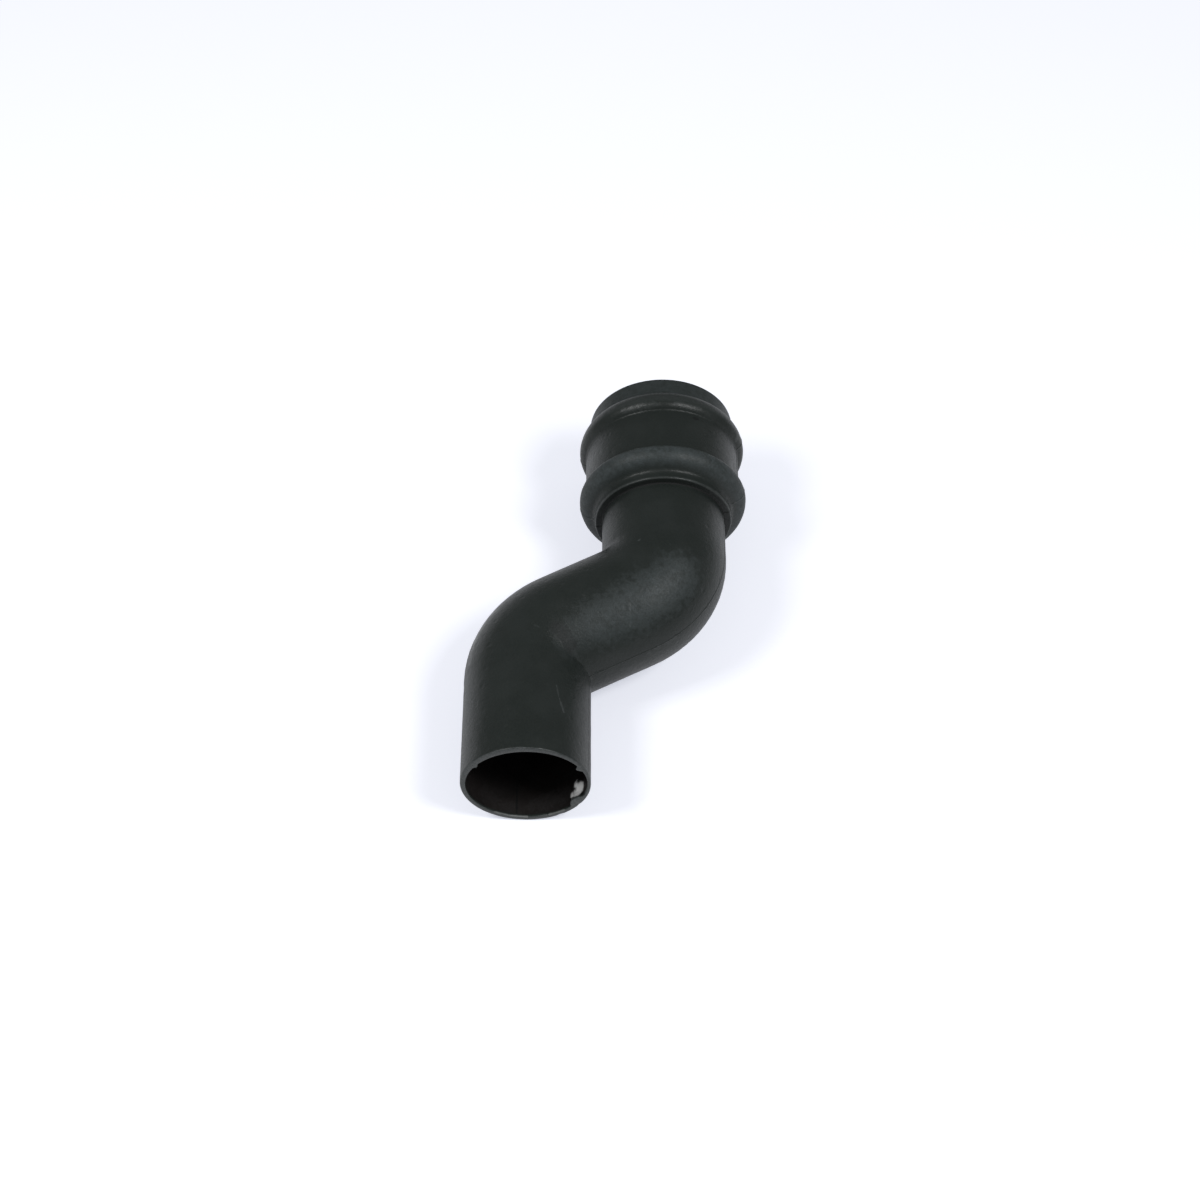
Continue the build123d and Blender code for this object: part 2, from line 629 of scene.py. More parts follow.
    def open_socket(self, skin: Piece) -> None:
        """Widen the core's end to the socket's bore at the stop, and draw it out to the mouth."""
        rings = max(1, round(self.socket_depth / self.pitch))
        step = self.socket_depth / rings
        with editing(skin):
            pick_edges(skin, lambda place: place.y > self.stop_place - self.weld)
            bpy.ops.mesh.extrude_region_move(TRANSFORM_OT_translate={"value": (0.0, 0.0, 0.0)})
            mesh = bmesh.from_edit_mesh(skin.data)
            for vert in (vert for vert in mesh.verts if vert.select):
                across = Vector((vert.co.x - self.offset, 0.0, vert.co.z)).normalized()
                vert.co = Vector((self.offset, self.stop_place, 0.0)) + across * self.socket_bore_radius
            bmesh.update_edit_mesh(skin.data)
            for _ in range(rings):
                bpy.ops.mesh.extrude_region_move(TRANSFORM_OT_translate={"value": (0.0, step, 0.0)})
            bpy.ops.mesh.select_all(action="SELECT")
            bpy.ops.mesh.normals_make_consistent(inside=False)
            bpy.ops.mesh.flip_normals()

    def close_rims(self, piece: Piece) -> None:
        """Bridge the two skins at both ends and round the rims' edges."""
        near = self.weld * 2

        def on_bore(point: Vector) -> bool:
            return abs(point.y) < near and math.hypot(point.x, point.z) < self.mid_wall

        with editing(piece):
            for place in (0.0, self.mouth_place):
                found = pick_edges(piece, lambda point, end=place: abs(point.y - end) < near)
                bpy.ops.mesh.bridge_edge_loops()
                log.info("rim at %.1f mm: %d edges", place / MM, found)
            self.bevel_ring(piece, self.offset, self.mouth_place, self.lip_radius, self.mouth_round)
            self.bevel_ring(piece, self.offset, self.mouth_place, self.socket_bore_radius, self.mouth_round)
            self.bevel_ring(piece, 0.0, 0.0, self.spigot_radius, self.rim_round)
            pick_edges(piece, on_bore)
            bpy.ops.mesh.bevel(offset=self.bore_round, offset_type="OFFSET", segments=3, affect="EDGES")

    def near_rim(self, place: Vector) -> bool:
        """Say whether a point is on one of the two rims or on their rounded edges."""
        return min(place.y, self.mouth_place - place.y) < self.mouth_round + self.weld

    @staticmethod
    def chips() -> list[Swell]:
        """Give the places round the spigot's end where the core was chipped and left metal."""
        return [
            Swell((30.2, 0.0, 9.8), (-2.2, 0.0, -0.4), 0.9, 2.4),
            Swell((-21.9, 0.0, 21.2), (0.9, 0.0, -0.8), 0.8, 1.5),
            Swell((23.8, 0.0, -20.6), (-2.8, 0.0, 2.1), 1.6, 6.0),
            Swell((24.8, 9.5, -20.2), (-1.6, 0.0, 1.4), 1.6, 4.5),
        ]

    @staticmethod
    def flaws() -> list[Swell]:
        """Give the swells that the casting has round its spigot's rim, as the photo shows them."""
        return [
            Swell((4.1, 0.0, 33.5), (0.0, 0.0, 0.6), 0.8, 1.6),
            Swell((13.0, 0.0, -31.5), (0.1, 0.2, 0.2), 0.8, 2.5),
            Swell((24.0, 0.0, -23.5), (-0.1, 0.2, 0.1), 0.8, 2.5),
        ]

    @staticmethod
    def weather(piece: Piece, skin: Skin, waves: Waves) -> None:
        """Give one skin the slight waves that sand leaves in a casting.

        Args:
            piece: The casting.
            skin: The skin to work on.
            waves: The waves that it gets.
        """
        clouds = bpy.data.textures.new(skin.value + "_sand", "CLOUDS")
        clouds.noise_scale = waves.grain
        clouds.noise_depth = 2
        bpy.ops.object.select_all(action="DESELECT")
        piece.select_set(True)
        bpy.context.view_layer.objects.active = piece
        bpy.ops.object.modifier_add(type="DISPLACE")
        shift = piece.modifiers[-1]
        shift.texture = clouds
        shift.texture_coords = "LOCAL"
        shift.vertex_group = skin.value
        shift.strength = waves.depth
        shift.mid_level = waves.middle
        bpy.ops.object.modifier_apply(modifier=shift.name)

    def build(self, coating: bpy.types.Material, core_coating: bpy.types.Material) -> Piece:
        """Model both skins, close the two rims between them and give the skins their flaws.

        Args:
            coating: The finish of the outside and of the rims.
            core_coating: The finish of the waterway and of the socket's bore.

        Returns:
            The finished casting, in the drawing's frame.
        """
        outer = self.outer_skin()
        core = self.core_skin()
        outer.data.materials.append(coating)
        core.data.materials.append(core_coating)
        bpy.ops.object.select_all(action="DESELECT")
        outer.select_set(True)
        core.select_set(True)
        bpy.context.view_layer.objects.active = outer
        bpy.ops.object.join()
        outer.name = PIECE
        outer.data.name = PIECE
        self.close_rims(outer)
        with editing(outer):
            bpy.ops.mesh.select_all(action="SELECT")
            bpy.ops.mesh.normals_make_consistent(inside=False)
            for flaw in self.flaws():
                flaw.press(outer)
            pick_faces(outer, self.near_rim)
            outer.active_material_index = 0
            bpy.ops.object.material_slot_assign()
        ends = [vert.index for vert in outer.data.vertices if self.near_rim(vert.co)]
        outer.vertex_groups[Skin.CORE.value].remove(ends)
        self.weather(outer, Skin.OUTER, self.outer_waves)
        self.weather(outer, Skin.CORE, self.core_waves)
        return outer


class Graph:
    """A node tree, with short ways to place nodes and wire them up."""

    def __init__(self, tree: Tree) -> None:
        """Take a node tree and empty it."""
        self.tree = tree
        tree.nodes.clear()

    def add(
        self, kind: str, feeds: dict[str | int, object] | None = None, **settings: object
    ) -> bpy.types.Node:
        """Place one node.

        Args:
            kind: The node's type.
            feeds: For each input, the socket or the value that feeds it.
            settings: The node's own settings.

        Returns:
            The node.
        """
        node = self.tree.nodes.new(kind)
        for name, value in settings.items():
            setattr(node, name, value)
        for key, value in (feeds or {}).items():
            if isinstance(value, Socket):
                self.tree.links.new(value, node.inputs[key])
            else:
                node.inputs[key].default_value = value
        return node

    def use(self, tree: Tree, feeds: dict[str, object] | None = None) -> object:
        """Place a shared group and give its outputs."""
        return self.add("ShaderNodeGroup", feeds, node_tree=tree).outputs

    def math(self, operation: str, *values: object) -> Socket:
        """Reckon with numbers and give the result."""
        return self.add("ShaderNodeMath", dict(enumerate(values)), operation=operation).outputs[0]

    def product(self, *values: object) -> Socket:
        """Multiply two or more numbers."""
        result = values[0]
        for value in values[1:]:
            result = self.math("MULTIPLY", result, value)
        return result

    def vector(self, operation: str, *values: object) -> bpy.types.Node:
        """Reckon with places and give the node, which has a Vector and a Value."""
        return self.add("ShaderNodeVectorMath", dict(enumerate(values)), operation=operation)

    def noise(self, place: Socket, size: object, detail: float = 3.0) -> Socket:
        """Give soft noise whose lumps are about one size, in metres, across."""
        scale = self.math("DIVIDE", 1.0, size) if isinstance(size, Socket) else 1.0 / size
        feeds = {"Vector": place, "Scale": scale, "Detail": detail, "Roughness": 0.6}
        return self.add("ShaderNodeTexNoise", feeds).outputs["Fac"]

    def span(
        self, value: object, low: float, high: float, start: float = 0.0, end: float = 1.0
    ) -> Socket:
        """Map one range of values smoothly on to another and hold it there."""
        feeds = {"Value": value, "From Min": low, "From Max": high, "To Min": start, "To Max": end}
        return self.add("ShaderNodeMapRange", feeds, interpolation_type="SMOOTHSTEP").outputs["Result"]

    def blend(self, share: object, first: object, second: object) -> Socket:
        """Blend two colours."""
        return self.add("ShaderNodeMix", {0: share, 6: first, 7: second}, data_type="RGBA").outputs[2]

    def most(self, values: list[object]) -> Socket:
        """Give the largest of some masks."""
        result = values[0]
        for value in values[1:]:
            result = self.math("MAXIMUM", result, value)
        return result


class Group(Graph):
    """A shader node group with named inputs and outputs."""

    def __init__(self, name: str, inputs: dict[str, str], outputs: dict[str, str]) -> None:
        """Make the group.

        Args:
            name: The group's name.
            inputs: Each input's name and socket type.
            outputs: Each output's name and socket type.
        """
        super().__init__(bpy.data.node_groups.new(name, "ShaderNodeTree"))
        interface = self.tree.interface
        for direction, sockets in (("INPUT", inputs), ("OUTPUT", outputs)):
            for socket, kind in sockets.items():
                interface.new_socket(name=socket, in_out=direction, socket_type="NodeSocket" + kind)
        self.given = self.add("NodeGroupInput").outputs
        self.result = self.add("NodeGroupOutput").inputs

    def give(self, name: str, socket: Socket) -> None:
        """Send a socket out of the group."""
        self.tree.links.new(socket, self.result[name])


@dataclass(frozen=True)
class FormMarks:
    """The marks that follow the casting's own form: worn rims and crest, painted highlights, a pale dusting
    with a painted reflection, and painted shade.

    Lengths are in metres. Of a pair, the first says where a mark is nil and the second where it is
    full. A share says how strongly a place shows, from 0 to 1.

    Args:
        casting: The casting, from whose sizes every place is taken.
    """

    casting: Casting
    rim_edge: float = 0.25 * MM
    # Worn crest of the upper bead, lightened further as a painted highlight.
    crest_depth: float = 0.5 * MM
    crest_start: float = 30.0 * MM
    crest_wear_and_highlight_share: float = 0.35
    mouth_share: float = 0.4
    # A painted highlight along the shoulder's rounded edge.
    edge_depth: Pair = (0.9 * MM, 0.3 * MM)
    edge_before: float = 0.5 * MM
    edge_fade: Pair = (1.8 * MM, 0.8 * MM)
    edge_highlight_share: float = 0.45
    # A paler coating on the lower bead's front: a dusting with a painted reflection of the floor.
    bead_pale_start: float = 0.5 * MM
    bead_pale_full: float = 1.5 * MM
    bead_share: float = 0.95
    lip_share: float = 0.50
    # Painted shade in the corner under the shoulder, from where it fades in to where it fades out.
    shade_start: Pair = (1.1 * MM, 0.5 * MM)
    shade_end: Pair = (0.2 * MM, -0.1 * MM)

    def wear_and_highlights(self, group: Group, along: object, across: object) -> Socket:
        """Give the mask of the worn rims, of the worn crest of the upper bead with its painted highlight,
        and of the painted highlight along the shoulder's edge.
        """
        casting = self.casting
        shoulder = casting.shoulder_place
        edge_start, edge_full = (casting.shoulder_radius - depth for depth in self.edge_depth)
        fade_end, fade_start = (shoulder + place for place in self.edge_fade)
        rim = group.span(along, casting.rim_round, self.rim_edge)
        mouth = group.span(along, casting.mouth_place - casting.mouth_round, casting.mouth_place)
        crest = group.span(across, casting.bead_radius - self.crest_depth, casting.bead_radius)
        socket = group.math("GREATER_THAN", along, shoulder + self.crest_start)
        edge = group.span(across, edge_start, edge_full)
        before = group.span(along, shoulder - self.edge_before, shoulder)
        after = group.span(along, fade_end, fade_start)
        return group.most([
            rim,
            group.product(mouth, self.mouth_share),
            # A worn crest with a painted highlight on the upper bead, and a painted highlight along the
            # shoulder's edge.
            group.product(crest, socket, self.crest_wear_and_highlight_share),
            group.product(before, after, edge, self.edge_highlight_share),
        ])

    def dust_and_reflection(self, group: Group, along: object, across: object) -> Socket:
        """Give the mask of the paler coating: a dusting with a painted reflection of the floor on the lower
        bead's front, and a dusting on the lip.
        """
        casting = self.casting
        shoulder = casting.shoulder_place
        lower, upper = casting.beads
        lowest = casting.shoulder_radius + self.bead_pale_start
        proud = group.span(across, lowest, casting.barrel_radius + self.bead_pale_full)
        crest = shoulder + lower.crest
        front = group.span(along, crest + lower.back, crest)
        past = group.math("GREATER_THAN", along, shoulder)
        # A dusting with a painted reflection of the floor on the lower bead's front.
        bead = group.product(proud, front, past, self.bead_share)
        land = shoulder + upper.crest
        lip = group.product(group.span(along, land, land + upper.back), self.lip_share)
        return group.most([bead, lip])

    def shoulder_shade(self, group: Group, along: object) -> Socket:
        """Give the mask of the painted shade in the corner under the shoulder."""
        shoulder = self.casting.shoulder_place
        start, full = (shoulder - place for place in self.shade_start)
        end, last = (shoulder + place for place in self.shade_end)
        return group.product(group.span(along, start, full), group.span(along, end, last))

    def tree(self) -> Tree:
        """Build the group that gives the three masks at a place of the drawing."""
        outputs = {"WearAndHighlights": "Float", "DustAndReflection": "Float", "ShoulderShade": "Float"}
        group = Group("form_marks", {"Place": "Vector"}, outputs)
        place = group.given["Place"]
        along = group.add("ShaderNodeSeparateXYZ", {0: place}).outputs["Y"]
        feeds = {"X": self.casting.offset, "Y": along, "Z": 0.0}
        leg = group.add("ShaderNodeCombineXYZ", feeds).outputs[0]
        across = group.vector("DISTANCE", place, leg).outputs["Value"]
        group.give("WearAndHighlights", self.wear_and_highlights(group, along, across))
        group.give("DustAndReflection", self.dust_and_reflection(group, along, across))
        group.give("ShoulderShade", self.shoulder_shade(group, along))
        return group.tree


@dataclass(frozen=True)
class Effects:
    """The effects that both coatings use, each built once as a node group."""

    place: Tree
    stroke: Tree
    sand: Tree
    clouds: Tree
    form: Tree

    @classmethod
    def build(cls, lie: Lie, casting: Casting) -> "Effects":
        """Build the groups for one casting and its lie."""
        return cls(
            place=cls.place_group(lie),
            stroke=cls.stroke_group(),
            sand=cls.sand_group(),
            clouds=cls.clouds_group(),
            form=FormMarks(casting).tree(),
        )

    @staticmethod
    def place_group(lie: Lie) -> Tree:
        """Build a point's place in the drawing, from its place on the floor."""
        group = Group("drawing_place", {}, {"Place": "Vector"})
        here = group.add("ShaderNodeTexCoord").outputs["Object"]
        feeds = {"Vector": here, "Location": lie.start, "Rotation": (0.0, -lie.roll, 0.0)}
        there = group.add("ShaderNodeMapping", feeds, vector_type="TEXTURE").outputs["Vector"]
        group.give("Place", there)
        return group.tree

    @staticmethod
    def stroke_group() -> Tree:
        """Build a ragged stroke from one place to another, as a mask."""
        inputs = {socket: "Vector" for socket in ("Place", "Start", "End")}
        inputs |= {socket: "Float" for socket in ("Width", "Ragged", "Strength")}
        outer_edge, inner_edge = 1.0, 0.35
        group = Group("ragged_stroke", inputs, {"Mask": "Float"})
        given = group.given
        line = group.vector("SUBTRACT", given["End"], given["Start"]).outputs["Vector"]
        away = group.vector("SUBTRACT", given["Place"], given["Start"]).outputs["Vector"]
        reach = group.vector("DOT_PRODUCT", away, line).outputs["Value"]
        whole = group.vector("DOT_PRODUCT", line, line).outputs["Value"]
        divide = group.add("ShaderNodeMath", {0: reach, 1: whole}, operation="DIVIDE", use_clamp=True)
        feeds = {"Vector": line, "Scale": divide.outputs[0]}
        foot = group.add("ShaderNodeVectorMath", feeds, operation="SCALE").outputs["Vector"]
        gap = group.vector("DISTANCE", away, foot).outputs["Value"]
        ratio = group.math("ADD", group.math("DIVIDE", gap, given["Width"]), given["Ragged"])
        mask = group.product(group.span(ratio, outer_edge, inner_edge), given["Strength"])
        group.give("Mask", mask)
        return group.tree

    @staticmethod
    def sand_group() -> Tree:
        """Build the skin that sand leaves: broad lumps, fine grain and small pits."""
        inputs = {"Place": "Vector", "Lump": "Float", "Grain": "Float", "Pits": "Float"}
        lump_share, grain_share = 0.65, 0.35
        pits_per_lump, pit_edge, pit_floor = 0.35, 0.22, 0.05
        group = Group("sand_skin", inputs, {"Height": "Float", "Mottle": "Float"})
        given = group.given
        lumps = group.noise(given["Place"], given["Lump"], 4.0)
        grain = group.noise(given["Place"], given["Grain"], 2.0)
        feeds = {"Vector": given["Place"], "Scale": group.math("DIVIDE", pits_per_lump, given["Lump"])}
        pits = group.add("ShaderNodeTexVoronoi", feeds).outputs["Distance"]
        hollow = group.product(group.span(pits, pit_edge, pit_floor), given["Pits"])
        height = group.math("ADD", group.product(lumps, lump_share), group.product(grain, grain_share))
        group.give("Height", group.math("SUBTRACT", height, hollow))
        group.give("Mottle", group.span(grain, 0.30, 0.70))
        return group.tree

    @staticmethod
    def clouds_group() -> Tree:
        """Build the clouds and flecks by which the coating thins out and marks tear."""
        outputs = {socket: "Float" for socket in ("Broad", "Ragged", "Fleck", "Patch")}
        broad_size, tear_size, fleck_size = 24.0 * MM, 3.2 * MM, 1.3 * MM
        tear_reach = 0.55
        cloud_share, fleck_share, even_share = 0.45, 0.35, 0.30
        group = Group("clouds", {"Place": "Vector"}, outputs)
        place = group.given["Place"]
        tear = group.noise(place, tear_size, 4.0)
        fleck = group.span(group.noise(place, fleck_size, 3.0), 0.30, 0.70)
        cloud = group.product(group.span(tear, 0.35, 0.65), cloud_share)
        flecked = group.math("ADD", group.product(fleck, fleck_share), even_share)
        group.give("Broad", group.span(group.noise(place, broad_size, 4.0), 0.35, 0.70))
        group.give("Ragged", group.span(tear, 0.25, 0.75, -tear_reach, tear_reach))
        group.give("Fleck", fleck)
        group.give("Patch", group.math("ADD", cloud, flecked))
        return group.tree


@dataclass(frozen=True)
class Mark:
    """One mark on a skin: a ragged stroke between two places of the drawing.

    Args:
        kind: What the mark is.
        start: Where it starts, in millimetres.
        end: Where it ends, in millimetres.
        width: Half its width, in millimetres.
        strength: How strongly it shows, from 0 to 1.
    """

    kind: Kind
    start: Place
    end: Place
    width: float
    strength: float


@dataclass(frozen=True)
class Coating:
    """The matt black coating of one skin, with its sand-cast grain and the marks on it, among them painted
    highlights, sheen, reflection and shade.

    Args:
        name: The material's name.
        deep: The coating where it is thick.
        thin: The coating where it is thin or dusty.
        dusty_and_sheen: The coating where it is pale, with a dusting, and where sheen and a reflection are
            painted.
        rubbed_and_highlight: The coating where it is scuffed, and where highlights are painted.
        roughness: How matt it is.
        specular: How strongly it reflects.
        lump: The size of the sand's lumps.
        grain: The size of the sand's grain.
        depth: How deep the grain is.
        pits: How strong the pits are.
        marks: The marks on it.
        stain: The coating where it is stained, and where shade is painted.
        bare: The metal where it is bare.
        speck: How strongly the grain mottles the colour.
        mottle: How far the grain moves the roughness either way.
        dull_matt: How much the rough patches under painted sheen, and the places with a dusting, add to the
            roughness.
        stain_matt: How much stained places and painted shade add to it.
        scuff_gloss: How much scuffs take from it.
        bare_gloss: How much bare metal takes from it.
        scuff_height: How far scuffs stand out in the grain.
        scuff_flecks: How strongly scuffs break up into flecks.
    """

    name: str
    deep: Colour
    thin: Colour
    dusty_and_sheen: Colour
    rubbed_and_highlight: Colour
    roughness: float
    specular: float
    lump: float
    grain: float
    depth: float
    pits: float
    marks: tuple[Mark, ...]
    stain: Colour = (0.006, 0.007, 0.007, 1.0)
    bare: Colour = (0.95, 0.95, 0.94, 1.0)
    speck: float = 0.35
    mottle: float = 0.05
    dull_matt: float = 0.15
    stain_matt: float = 0.30
    scuff_gloss: float = 0.08
    bare_gloss: float = 0.20
    scuff_height: float = 0.12
    scuff_flecks: float = 0.55

    def mask(self, graph: Graph, effects: Effects, kind: Kind, place: object, ragged: object) -> object:
        """Give the mask of all marks of one kind, or nothing where there are none."""
        torn = graph.product(ragged, TEARING[kind])
        strokes = []
        for mark in (mark for mark in self.marks if mark.kind is kind):
            feeds = {
                "Place": place,
                "Start": Vector(mark.start) * MM,
                "End": Vector(mark.end) * MM,
                "Width": mark.width * MM,
                "Ragged": torn,
                "Strength": mark.strength,
            }
            strokes.append(graph.use(effects.stroke, feeds)["Mask"])
        return graph.most(strokes) if strokes else 0.0

    def material(self, effects: Effects) -> bpy.types.Material:
        """Build the material from the shared node groups."""
        material = bpy.data.materials.new(self.name)
        material.use_nodes = True
        graph = Graph(material.node_tree)
        place = graph.use(effects.place)["Place"]
        feeds = {"Place": place, "Lump": self.lump, "Grain": self.grain, "Pits": self.pits}
        sand = graph.use(effects.sand, feeds)
        clouds = graph.use(effects.clouds, {"Place": place})
        form = graph.use(effects.form, {"Place": place})
        masks = {kind: self.mask(graph, effects, kind, place, clouds["Ragged"]) for kind in Kind}

        flecks = graph.product(clouds["Fleck"], self.scuff_flecks)
        torn = graph.math("ADD", flecks, 1.0 - self.scuff_flecks)
        rubbed_and_highlit = graph.product(graph.most([form["WearAndHighlights"], masks[Kind.SCUFF]]), torn)
        stains_and_shade = graph.most([masks[Kind.STAIN], form["ShoulderShade"]])
        dull, bare = masks[Kind.DULL], masks[Kind.BARE]

        coat = graph.blend(clouds["Broad"], self.deep, self.thin)
        layers = (
            (graph.product(sand["Mottle"], self.speck), self.thin),
            # Painted sheen on the rough patches of the slant.
            (graph.product(dull, clouds["Patch"]), self.dusty_and_sheen),
            # A dusting on the lip, and a dusting with a painted reflection on the lower bead's front.
            (graph.product(form["DustAndReflection"], clouds["Patch"]), self.dusty_and_sheen),
            # Scuffs and worn rims, with painted highlights on the beads and along the shoulder's edge.
            (rubbed_and_highlit, self.rubbed_and_highlight),
            # Stained places, and painted shade under the shoulder, over the lower bend's crease, beside the
            # parting ridge and along the bore's floor.
            (stains_and_shade, self.stain),
            (bare, self.bare),
        )
        for share, colour in layers:
            coat = graph.blend(share, coat, colour)

        mottle = graph.span(sand["Mottle"], 0.0, 1.0, -self.mottle, self.mottle)
        rough = graph.math("ADD", self.roughness, mottle)
        changes = (
            (graph.most([dull, form["DustAndReflection"]]), self.dull_matt),
            (stains_and_shade, self.stain_matt),
            (rubbed_and_highlit, -self.scuff_gloss),
            (bare, -self.bare_gloss),
        )
        for share, change in changes:
            rough = graph.math("ADD", rough, graph.product(share, change))

        height = graph.math("ADD", sand["Height"], graph.product(rubbed_and_highlit, self.scuff_height))
        bump = graph.add("ShaderNodeBump", {"Strength": 1.0, "Distance": self.depth, "Height": height})
        shader = graph.add("ShaderNodeBsdfPrincipled", {
            "Base Color": coat,
            "Roughness": rough,
            "Specular IOR Level": self.specular,
            "Normal": bump.outputs["Normal"],
        })
        graph.add("ShaderNodeOutputMaterial", {"Surface": shader.outputs[0]})
        return material


# How far the edges of each kind of mark are torn, as a share of the full raggedness
TEARING = {Kind.SCUFF: 1.0, Kind.STAIN: 0.4, Kind.DULL: 0.5, Kind.BARE: 0.3}

OUTSIDE = Coating(
    name="black_coating",
    deep=(0.0135, 0.0180, 0.0160, 1.0),
    thin=(0.0200, 0.0250, 0.0230, 1.0),
    dusty_and_sheen=(0.050, 0.061, 0.063, 1.0),
    rubbed_and_highlight=(0.072, 0.080, 0.080, 1.0),
    roughness=0.37,
    specular=0.30,
    lump=3.0 * MM,
    grain=0.9 * MM,
    depth=0.32 * MM,
    pits=0.35,
    marks=(
        Mark(Kind.SCUFF, (20.9, 41.9, 26.8), (22.0, 35.0, 25.9), 0.5, 0.55),
        Mark(Kind.SCUFF, (22.4, 34.0, 25.6), (24.3, 26.6, 23.8), 0.7, 0.7),
        Mark(Kind.SCUFF, (10.2, 77.3, 33.4), (24.0, 71.5, 25.0), 0.9, 0.25),
        Mark(Kind.SCUFF, (24.0, 71.5, 25.0), (34.7, 63.4, 0.0), 1.0, 0.45),
        # Rough patches on the slant, with painted sheen where the right lamp's highlight falls.
        Mark(Kind.DULL, (30.0, 72.0, 27.0), (44.0, 79.0, 27.0), 15.0, 0.45),
        Mark(Kind.DULL, (44.0, 79.0, 27.0), (60.0, 87.0, 26.0), 18.0, 0.75),
        Mark(Kind.DULL, (60.0, 87.0, 26.0), (86.0, 104.0, 27.0), 19.0, 0.85),
        Mark(Kind.SCUFF, (59.9, 89.0, 27.8), (58.6, 79.8, 19.9), 0.7, 0.60),
        Mark(Kind.SCUFF, (-13.7, 96.9, 23.7), (-19.8, 93.0, 20.2), 3.0, 0.80),
        Mark(Kind.SCUFF, (-19.8, 93.0, 20.2), (-25.3, 80.0, 20.0), 3.6, 0.90),
        Mark(Kind.SCUFF, (-25.3, 80.0, 20.0), (-27.4, 68.0, 20.0), 2.6, 0.60),
        # Painted shade over the lower bend's crease, which hides a lamp's highlight there.
        Mark(Kind.STAIN, (21.9, 76.4, 30.0), (27.1, 69.0, 23.0), 5.5, 0.50),
        # Painted highlight specks on the lower bead's back and the barrel's foot.
        Mark(Kind.SCUFF, (66.5, 182.4, 44.9), (68.6, 181.6, 45.6), 0.8, 0.90),
        Mark(Kind.SCUFF, (73.4, 179.6, 46.6), (75.2, 179.3, 46.8), 0.8, 0.90),
        Mark(Kind.SCUFF, (66.1, 127.2, 33.3), (66.6, 127.4, 33.3), 0.8, 0.80),
        # Painted highlights of the two lamps near the lower bead's crest.
        Mark(Kind.SCUFF, (55.0, 178.5, 42.5), (68.0, 178.0, 45.5), 4.0, 0.25),
        Mark(Kind.SCUFF, (90.0, 176.5, 42.0), (102.0, 175.2, 37.0), 4.5, 0.28),
        # Painted highlights of the two lamps along the upper bead's crest.
        Mark(Kind.SCUFF, (60.0, 213.3, 43.5), (78.0, 213.0, 46.2), 2.4, 0.30),
        Mark(Kind.SCUFF, (90.0, 213.2, 43.5), (102.0, 213.3, 37.5), 2.8, 0.30),
        Mark(Kind.SCUFF, (38.0, 196.0, 22.0), (43.0, 199.0, 29.0), 7.0, 0.22),
        Mark(Kind.SCUFF, (112.0, 168.0, -1.0), (115.0, 174.0, 1.0), 2.4, 0.55),
        Mark(Kind.SCUFF, (117.0, 207.0, 9.0), (119.5, 213.0, 9.8), 2.2, 0.50),
        Mark(Kind.SCUFF, (115.0, 187.0, 12.0), (116.5, 193.0, 14.0), 2.0, 0.45),
        Mark(Kind.SCUFF, (66.0, 77.0, 1.0), (80.0, 83.0, 2.0), 2.0, 0.30),
        Mark(Kind.SCUFF, (18.0, 0.2, -22.0), (24.5, 0.2, -17.0), 3.0, 0.90),
        Mark(Kind.BARE, (-20.9, 0.3, -23.1), (-13.1, 0.3, -28.0), 0.8, 0.10),
        Mark(Kind.BARE, (-13.1, 0.3, -28.0), (-5.1, 0.3, -30.5), 0.8, 0.14),
        Mark(Kind.BARE, (6.9, 0.3, -30.3), (15.2, 0.3, -27.5), 0.8, 0.11),
        Mark(Kind.STAIN, (98.9, 207.9, 36.0), (100.5, 208.2, 35.0), 1.6, 0.80),
        # A painted shadow line beside the parting ridge.
        Mark(Kind.STAIN, (37.0, 64.4, 3.7), (80.9, 84.1, 3.6), 0.45, 0.70),
    ),
)

INSIDE = Coating(
    name="core_coating",
    deep=(0.0058, 0.0050, 0.0050, 1.0),
    thin=(0.0130, 0.0105, 0.0100, 1.0),
    dusty_and_sheen=(0.020, 0.020, 0.020, 1.0),
    rubbed_and_highlight=(0.030, 0.029, 0.029, 1.0),
    roughness=0.62,
    specular=0.25,
    lump=4.0 * MM,
    grain=1.2 * MM,
    depth=0.35 * MM,
    pits=0.55,
    marks=(
        Mark(Kind.SCUFF, (-26.0, 10.0, -17.0), (-14.0, 4.0, -28.0), 6.0, 0.30),
        Mark(Kind.SCUFF, (0.0, 8.0, -32.0), (18.0, 10.0, -27.0), 6.0, 0.40),
        # A painted line of shade along the bore's floor.
        Mark(Kind.STAIN, (-10.4, 2.0, -29.0), (-10.8, 40.0, -28.8), 0.8, 0.90),
        Mark(Kind.BARE, (22.2, 12.2, -20.6), (25.6, 7.0, -17.4), 2.6, 1.0),
        Mark(Kind.BARE, (25.6, 7.0, -17.4), (23.6, 4.6, -18.6), 4.0, 1.0),
        Mark(Kind.BARE, (23.6, 4.8, -18.6), (19.6, 6.8, -22.6), 2.7, 1.0),
    ),
)


@dataclass(frozen=True)
class Lamp:
    """One soft box that faces the casting.

    Args:
        name: The lamp's name.
        place: Where it hangs.
        size: Its width.
        power: Its power in watts.
    """

    name: str
    place: Place
    size: float
    power: float

    def hang(self) -> None:
        """Hang the lamp and turn it to the casting."""
        data = bpy.data.lights.new(self.name, "AREA")
        data.shape = "SQUARE"
        data.size = self.size
        data.energy = self.power
        lamp = bpy.data.objects.new(self.name, data)
        bpy.context.scene.collection.objects.link(lamp)
        lamp.location = self.place
        lamp.rotation_euler = Vector(self.place).to_track_quat("Z", "Y").to_euler()


LAMPS = (
    Lamp("soft_box_left", (-0.80, -0.28, 1.20), 0.40, 6.6),
    Lamp("soft_box_right", (0.75, -0.48, 1.30), 0.40, 8.6),
)


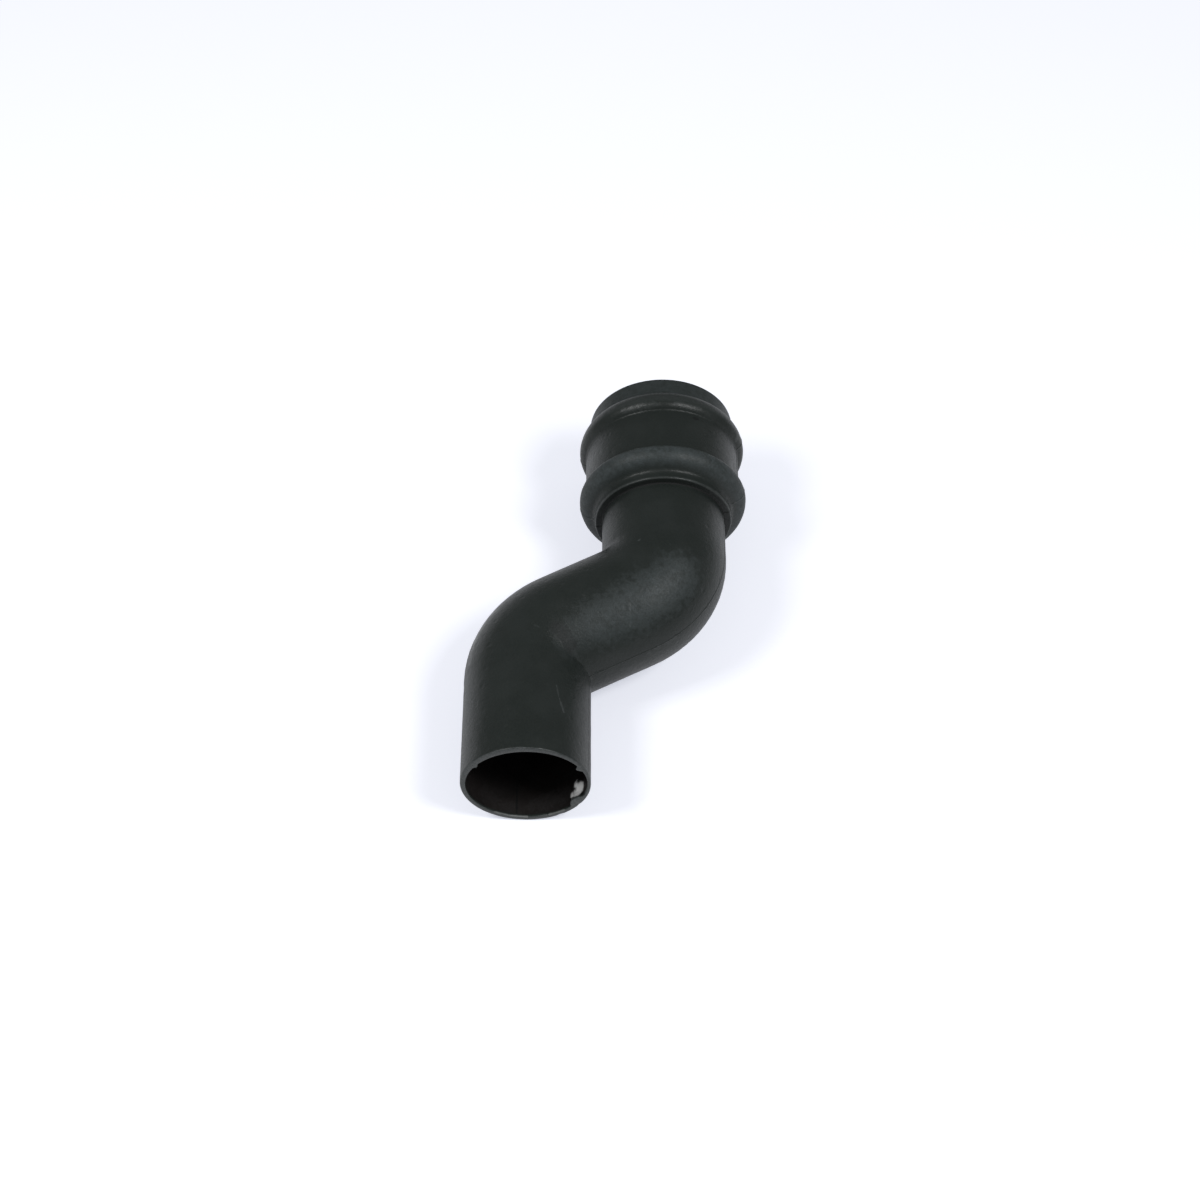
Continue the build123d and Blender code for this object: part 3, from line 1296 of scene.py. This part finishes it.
@dataclass(frozen=True)
class Studio:
    """The pale floor, the soft light and the camera.

    Args:
        lie: How the casting lies, which the camera is placed from.
    """

    lie: Lie
    lens: float = 67.38
    sensor: float = 36.0
    near_clip: float = 0.01
    distance: float = 1.2321
    elevation: float = math.radians(52.19)
    azimuth: float = math.radians(0.10)
    aim_across: float = 38.70 * MM
    aim_along: float = 120.66 * MM
    floor_size: float = 1.2
    floor_colour: Colour = (0.80, 0.80, 0.81, 1.0)
    floor_glow: float = 0.56
    glow_in_gloss: float = 0.45
    glow_colour: Colour = (0.85, 0.88, 1.0, 1.0)
    room_light: float = 0.25
    room_colour: Colour = (0.97, 0.98, 1.0, 1.0)
    white: Colour = (1.0, 1.0, 1.0, 1.0)

    def camera(self) -> None:
        """Place the camera where the photograph was taken from."""
        level, height = math.cos(self.elevation), math.sin(self.elevation)
        back = Vector((-level * math.sin(self.azimuth), -level * math.cos(self.azimuth), height))
        aim = self.lie.start + Vector((self.aim_across, self.aim_along, 0.0))
        data = bpy.data.cameras.new("camera")
        data.lens = self.lens
        data.sensor_width = self.sensor
        data.clip_start = self.near_clip
        camera = bpy.data.objects.new("camera", data)
        bpy.context.scene.collection.objects.link(camera)
        camera.location = aim + back * self.distance
        camera.rotation_euler = (math.pi / 2 - self.elevation, 0.0, -self.azimuth)
        bpy.context.scene.camera = camera

    def floor(self) -> None:
        """Lay the floor, which a camera sees as white and which keeps the casting's shadow."""
        bpy.ops.object.select_all(action="DESELECT")
        bpy.ops.mesh.primitive_plane_add(size=self.floor_size)
        floor = bpy.context.object
        floor.name = "floor"
        material = bpy.data.materials.new("floor")
        material.use_nodes = True
        graph = Graph(material.node_tree)
        paper = graph.add("ShaderNodeBsdfDiffuse", {"Color": self.floor_colour})
        path = graph.add("ShaderNodeLightPath").outputs
        mirrored = graph.product(path["Is Glossy Ray"], self.glow_in_gloss)
        seen = graph.math("ADD", path["Is Camera Ray"], mirrored)
        level = graph.product(seen, self.floor_glow)
        glow = graph.add("ShaderNodeEmission", {"Color": self.glow_colour, "Strength": level})
        both = graph.add("ShaderNodeAddShader", {0: paper.outputs[0], 1: glow.outputs[0]})
        graph.add("ShaderNodeOutputMaterial", {"Surface": both.outputs[0]})
        floor.data.materials.append(material)

    def world(self) -> None:
        """Surround the casting with even light, which a camera sees as white."""
        world = bpy.data.worlds.new("room")
        bpy.context.scene.world = world
        world.use_nodes = True
        graph = Graph(world.node_tree)
        seen = graph.add("ShaderNodeBackground", {"Color": self.white, "Strength": 1.0})
        feeds = {"Color": self.room_colour, "Strength": self.room_light}
        light = graph.add("ShaderNodeBackground", feeds)
        path = graph.add("ShaderNodeLightPath").outputs
        feeds = {0: path["Is Camera Ray"], 1: light.outputs[0], 2: seen.outputs[0]}
        mix = graph.add("ShaderNodeMixShader", feeds)
        graph.add("ShaderNodeOutputWorld", {"Surface": mix.outputs[0]})

    def build(self) -> None:
        """Set up the floor, the light and the camera."""
        self.floor()
        self.world()
        for lamp in LAMPS:
            lamp.hang()
        self.camera()
        bpy.context.scene.view_settings.view_transform = "Standard"


def main() -> None:
    """Build the casting round the frame, and the studio round the casting."""
    logging.basicConfig(level=logging.INFO, format="%(name)s: %(message)s")
    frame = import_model()
    record = frame["record"]
    mounts = {mount["name"]: mount for mount in record["mounts"]}
    lie = Lie.from_frame(record)
    casting = Casting(
        offset=lie.offset,
        spigot_radius=mounts["spigot_pin"]["dims"]["r_mm"] * MM,
        socket_bore_radius=mounts["socket_bore"]["dims"]["r_mm"] * MM,
    )
    effects = Effects.build(lie, casting)
    piece = casting.build(OUTSIDE.material(effects), INSIDE.material(effects))
    settle(piece, lie.matrix())
    bpy.ops.object.shade_smooth_by_angle(angle=SMOOTH_ANGLE)
    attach(piece, "root")
    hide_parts(NODE)
    Studio(lie).build()
    log.info("%s: %d faces", piece.name, len(piece.data.polygons))


if __name__ == "__main__":
    main()
